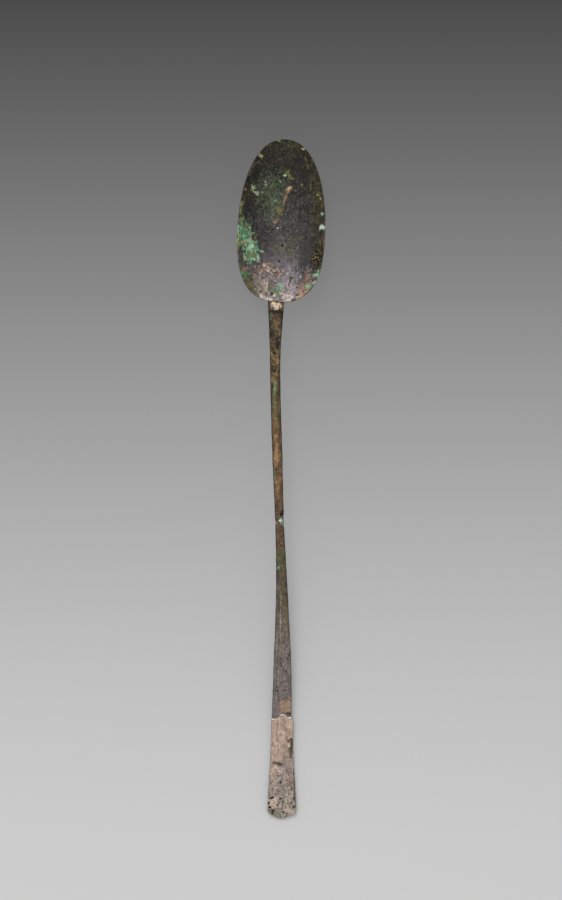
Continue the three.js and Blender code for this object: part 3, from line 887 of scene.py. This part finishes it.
def paint_verdigris(skin):
    mask = np.maximum.reduce([skin.blob(patch) for patch in VERDIGRIS]) * skin.facing
    skin.cover(mask, "verdigris")
    skin.shade(by=0.1, grain=0.5, seed=60)
    mix = skin.noise(grain=0.7, seed=51)
    skin.cover(mask * smoothstep(mix, low=0, high=0.35), "mint")
    skin.cover(mask * smoothstep(-mix, low=0.25, high=0.5), "green dull")
    skin.raise_by(0.06, grain=0.6, seed=54, share=mask)
    skin.lay(VERDIGRIS_SPOTS)
    skin.cover(mask * skin.clouds(grain=0.4, seed=57, low=0.35, high=0.5), "tan", share=0.7)
    skin.cover(mask * smoothstep(-skin.grit, low=0.4, high=0.7), "dark green", share=0.6)


def paint_scribble(skin):
    """Black crust with thin golden lines on the right wall; the gold lines are partly raised metal
    and partly painted glints of the lit rim edge.
    """
    region = skin.blob(SCRIBBLE) * skin.facing
    skin.cover(region, SCRIBBLE.tone, share=0.85)
    lines = 1 - smoothstep(np.abs(skin.noise(grain=0.7, seed=61)), low=0.03, high=0.14)
    skin.cover(region * lines, "gold", share=0.9)
    skin.height += SCRIBBLE_LIFT * region * lines


def paint_bowl(skin):
    skin.grade(BOWL_COLOURS_AND_SHADING, rough=0.5, metal=0.4)
    skin.raise_by(0.03, grain=4, seed=11)
    skin.raise_by(0.012, grain=0.7, seed=14)
    skin.shade(by=0.14, grain=2.5, seed=17)
    skin.lay(BOWL_HAZE_AND_HIGHLIGHTS, whole=True)
    paint_strokes(skin)
    paint_grit(skin)
    paint_marks(skin)
    paint_verdigris(skin)
    paint_scribble(skin)
    skin.lay(BOWL_HOLES, whole=True)
    age_underside(skin)


def paint_handle(skin, colours, spots, mottling):
    skin.grade(colours)
    skin.raise_by(0.03, grain=(1.5, 4, 1.5), seed=71)
    skin.raise_by(0.022, grain=0.6, seed=74)
    skin.shade(by=mottling, grain=(0.8, 3.5, 0.8), seed=77)
    skin.shade(by=0.14, grain=(0.3, 4, 0.5), seed=80)
    skin.shade(by=0.2, grain=0.36, seed=86)
    skin.specks("black", grain=(0.4, 0.7, 0.4), above=0.62, seed=83, share=0.7)
    skin.specks("olive dust", grain=0.35, above=0.58, seed=84, share=0.5)
    neck = 1 - skin.below(NECK_ROWS)
    skin.specks("black", grain=0.45, above=0.4, seed=87, share=0.8 * neck)
    skin.specks("gold tan", grain=0.45, above=0.45, seed=88, share=0.6 * neck)
    skin.lay(spots)
    skin.paint_side_shade(by=0.5)
    age_underside(skin)


def paint_upper(skin):
    paint_handle(skin, UPPER_COLOURS, UPPER_SPOTS, mottling=0.26)


def paint_lower(skin):
    paint_handle(skin, LOWER_COLOURS, LOWER_SPOTS, mottling=0.1)


def paint_end(skin):
    skin.grade(END_COLOURS, rough=0.6, metal=0.3)
    skin.shade(by=0.18, grain=(0.18, 5, 1), seed=91)
    skin.raise_by(0.01, grain=(0.18, 5, 1), seed=91)
    skin.shade(by=0.1, grain=0.7, seed=94)
    point = skin.below(POINT_ROWS)
    skin.shade(by=0.4, grain=0.42, seed=97, share=point)
    skin.raise_by(0.03, grain=0.9, seed=100, share=point)
    skin.specks("grey white", grain=0.36, above=0.25, seed=103, share=0.8 * point)
    skin.specks("umber", grain=0.4, above=0.5, seed=104, share=0.7 * point)
    skin.lay(END_SPOTS)
    skin.lay(END_HOLES, whole=True)
    skin.paint_side_shade(by=0.45)
    age_underside(skin)


def paint_rivet(skin):
    skin.fill(RIVET_HEAD.tone)
    skin.cover((1 - skin.blob(RIVET_HEAD)) * skin.facing, "dark green")
    skin.shade(by=0.25, grain=0.5, seed=111)
    skin.raise_by(0.03, grain=0.4, seed=114)


def paint_solder(skin):
    skin.fill("pink cream")
    skin.cover(skin.clouds(grain=0.8, seed=121, low=0, high=0.3), "cream")
    skin.lay(SOLDER_SPOTS)
    skin.specks("orange brown", grain=0.5, above=0.3, seed=124, share=0.8)
    skin.specks("black", grain=0.4, above=0.5, seed=128, share=0.7)
    skin.cover(skin.clouds(grain=0.6, seed=129, low=0.3, high=0.6), "purple grey")
    skin.raise_by(0.06, grain=0.7, seed=125)
    skin.paint_side_shade(by=0.4)


def paint_upper_fill(skin):
    skin.fill("umber")
    skin.shade(by=0.35, grain=0.5, seed=131)
    skin.lay(UPPER_FILL_SPOTS)
    skin.raise_by(0.04, grain=0.5, seed=134)
    skin.paint_side_shade(by=0.4)


def paint_lower_fill(skin):
    # The pale fill is partly its own colour and partly a painted highlight of the lit edge of the
    # step at the mend.
    skin.fill("pink white")
    skin.cover(skin.clouds(grain=0.7, seed=141, low=0.1, high=0.35), "white")
    skin.raise_by(0.04, grain=0.5, seed=144)


# Materials


def add_map(nodes, low, high, to_low=0, to_high=1):
    """A node that maps the values from low to high onto another range."""
    change = nodes.new("ShaderNodeMapRange")
    change.inputs["From Min"].default_value = low
    change.inputs["From Max"].default_value = high
    change.inputs["To Min"].default_value = to_low
    change.inputs["To Max"].default_value = to_high
    return change


def add_attribute(nodes, name):
    attribute = nodes.new("ShaderNodeAttribute")
    attribute.attribute_name = name
    return attribute


def add_grain(nodes, links, grain):
    """Noise with the lengths of the grain, fixed to the piece."""
    where = nodes.new("ShaderNodeTexCoord")
    stretch = nodes.new("ShaderNodeMapping")
    stretch.inputs["Scale"].default_value = [1 / (length * MM) for length in grain]
    noise = nodes.new("ShaderNodeTexNoise")
    noise.inputs["Scale"].default_value = 1
    noise.inputs["Detail"].default_value = GRAIN_DETAIL
    links.new(where.outputs["Object"], stretch.inputs["Vector"])
    links.new(stretch.outputs["Vector"], noise.inputs["Vector"])
    return noise.outputs["Fac"]


def surface_material(name, grain, contrast, bump):
    """A surface that takes its paint from the vertices and adds a finer grain to it."""
    material = bpy.data.materials.new(name)
    material.use_nodes = True
    nodes = material.node_tree.nodes
    links = material.node_tree.links
    shader = nodes["Principled BSDF"]
    shader.inputs["Specular IOR Level"].default_value = SPECULAR
    paint = add_attribute(nodes, "paint")
    rough = add_attribute(nodes, "rough")
    metal = add_attribute(nodes, "metal")
    noise = add_grain(nodes, links, grain)
    level = add_map(nodes, GRAIN_LOW, GRAIN_HIGH, to_low=1 - contrast, to_high=1 + contrast)
    tinted = nodes.new("ShaderNodeVectorMath")
    tinted.operation = "SCALE"
    grains = nodes.new("ShaderNodeBump")
    grains.inputs["Distance"].default_value = bump * MM
    links.new(noise, level.inputs["Value"])
    links.new(paint.outputs["Color"], tinted.inputs[0])
    links.new(level.outputs["Result"], tinted.inputs["Scale"])
    links.new(tinted.outputs["Vector"], shader.inputs["Base Color"])
    links.new(rough.outputs["Fac"], shader.inputs["Roughness"])
    links.new(metal.outputs["Fac"], shader.inputs["Metallic"])
    links.new(noise, grains.inputs["Height"])
    links.new(grains.outputs["Normal"], shader.inputs["Normal"])
    return material


MATERIALS = {
    "bowl_bronze": surface_material("bowl bronze", EVEN_GRAIN, contrast=0.28, bump=0.03),
    "handle_bronze": surface_material("handle bronze", EVEN_GRAIN, contrast=0.28, bump=0.05),
    "end_bronze": surface_material("end bronze", STROKE_GRAIN, contrast=0.12, bump=0.03),
    "rivet_bronze": surface_material("rivet bronze", EVEN_GRAIN, contrast=0.15, bump=0.04),
    "solder": surface_material("solder", EVEN_GRAIN, contrast=0.12, bump=0.05),
    "upper_fill": surface_material("upper fill", EVEN_GRAIN, contrast=0.12, bump=0.05),
    "lower_fill": surface_material("lower fill", EVEN_GRAIN, contrast=0.1, bump=0.05),
}


def place_piece(node, slot, mesh, paint):
    """Paints a mesh made in millimetres and shows it for its CAD piece, inside that piece's box."""
    skin = Skin(mesh)
    paint(skin)
    low, high = (np.array(corner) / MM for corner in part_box(node))
    place = np.clip(skin.place + skin.normal * skin.height[:, None], low, high)
    mesh.vertices.foreach_set("co", (place * MM).astype(np.float32).ravel())
    skin.write(mesh)
    mesh.materials.clear()
    mesh.materials.append(MATERIALS[slot])
    mesh.shade_smooth()
    mesh.update()
    piece = bpy.data.objects.new(node + "_aged", mesh)
    bpy.context.scene.collection.objects.link(piece)
    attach(piece, "root")
    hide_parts(node)


# Floor, light and camera


def row_to_y(row):
    return TIP_Y - (row - SPOON_TOP) / PIXELS_PER_MM


def fill_ramp(ramp):
    """The sweep of grey, from the bottom of the frame to the top: a painted falloff of light."""
    for step in range(1, BACKDROP_STEPS):
        ramp.elements.new(step / BACKDROP_STEPS)
    for stop in ramp.elements:
        rise = stop.position**BACKDROP_BEND
        grey = BACKDROP_BOTTOM + (BACKDROP_TOP - BACKDROP_BOTTOM) * rise
        light = float(to_linear(np.array(grey / BYTE)))
        stop.color = (light, light, light, 1)


def backdrop_material():
    """The backdrop's greys, a painted falloff of light, partly as a glow that a shadow doesn't
    darken.
    """
    material = bpy.data.materials.new("backdrop")
    material.use_nodes = True
    nodes = material.node_tree.nodes
    links = material.node_tree.links
    nodes.remove(nodes["Principled BSDF"])
    geometry = nodes.new("ShaderNodeNewGeometry")
    axes = nodes.new("ShaderNodeSeparateXYZ")
    across = add_map(nodes, row_to_y(PHOTO_HEIGHT) * MM, row_to_y(0) * MM)
    greys = nodes.new("ShaderNodeValToRGB")
    fill_ramp(greys.color_ramp)
    matt = nodes.new("ShaderNodeBsdfDiffuse")
    glow = nodes.new("ShaderNodeEmission")
    rays = nodes.new("ShaderNodeLightPath")
    glow_share = add_map(nodes, END_GLOW_Y, BOWL_GLOW_Y, to_low=END_GLOW, to_high=BOWL_GLOW)
    share = nodes.new("ShaderNodeMath")
    share.operation = "MULTIPLY"
    both = nodes.new("ShaderNodeMixShader")
    links.new(geometry.outputs["Position"], axes.inputs[0])
    links.new(axes.outputs["Y"], across.inputs["Value"])
    links.new(across.outputs["Result"], greys.inputs[0])
    links.new(greys.outputs["Color"], matt.inputs["Color"])
    links.new(greys.outputs["Color"], glow.inputs["Color"])
    links.new(axes.outputs["Y"], glow_share.inputs["Value"])
    links.new(rays.outputs["Is Camera Ray"], share.inputs[0])
    links.new(glow_share.outputs["Result"], share.inputs[1])
    links.new(share.outputs[0], both.inputs[0])
    links.new(matt.outputs[0], both.inputs[1])
    links.new(glow.outputs[0], both.inputs[2])
    links.new(both.outputs[0], nodes["Material Output"].inputs["Surface"])
    return material


def add_floor():
    """A flat floor with a sweep of grey, darker towards the bowl's tip, painted as light that falls
    off.
    """
    bpy.ops.mesh.primitive_plane_add(size=FLOOR_SIZE, location=(0, 0, -FLOOR_DROP))
    floor = bpy.context.object
    floor.name = "floor"
    floor.data.materials.append(backdrop_material())


def add_light():
    world = bpy.data.worlds.new("studio")
    world.use_nodes = True
    background = world.node_tree.nodes["Background"]
    background.inputs["Color"].default_value = WHITE
    background.inputs["Strength"].default_value = SKY_STRENGTH
    bpy.context.scene.world = world
    lamp = bpy.data.lights.new("key", "AREA")
    lamp.energy = KEY_POWER
    lamp.size = KEY_SIZE
    key = bpy.data.objects.new("key", lamp)
    key.location = KEY_PLACE
    key.rotation_euler = (-Vector(KEY_PLACE)).to_track_quat("-Z", "Y").to_euler()
    bpy.context.scene.collection.objects.link(key)


def add_camera():
    """Straight above the spoon, with the photograph's frame."""
    settings = bpy.data.cameras.new("camera")
    settings.lens = LENS
    settings.sensor_fit = "VERTICAL"
    settings.sensor_height = SENSOR
    camera = bpy.data.objects.new("camera", settings)
    distance = LENS / SENSOR * PHOTO_HEIGHT / PIXELS_PER_MM
    x = (PHOTO_MIDDLE - SPOON_MIDDLE) / PIXELS_PER_MM
    y = row_to_y(PHOTO_HEIGHT / 2)
    camera.location = Vector((x, y, distance + FOCUS_HEIGHT)) * MM
    bpy.context.scene.collection.objects.link(camera)
    bpy.context.scene.camera = camera


place_piece("bowl", "bowl_bronze", make_bowl(), paint_bowl)
for node, slot, paint in (
    ("shank_upper", "handle_bronze", paint_upper),
    ("shank_lower", "handle_bronze", paint_lower),
    ("handle_end", "end_bronze", paint_end),
):
    place_piece(node, slot, make_fine(node, HANDLE_SPACING, HANDLE_WEAR), paint)
for node, slot, paint in (
    ("bowl_rivet", "rivet_bronze", paint_rivet),
    ("joint_solder", "solder", paint_solder),
    ("mend_upper", "upper_fill", paint_upper_fill),
    ("mend_lower", "lower_fill", paint_lower_fill),
):
    place_piece(node, slot, make_fine(node, SMALL_SPACING, SMALL_WEAR), paint)
add_floor()
add_light()
add_camera()
bpy.context.scene.view_settings.view_transform = "Standard"
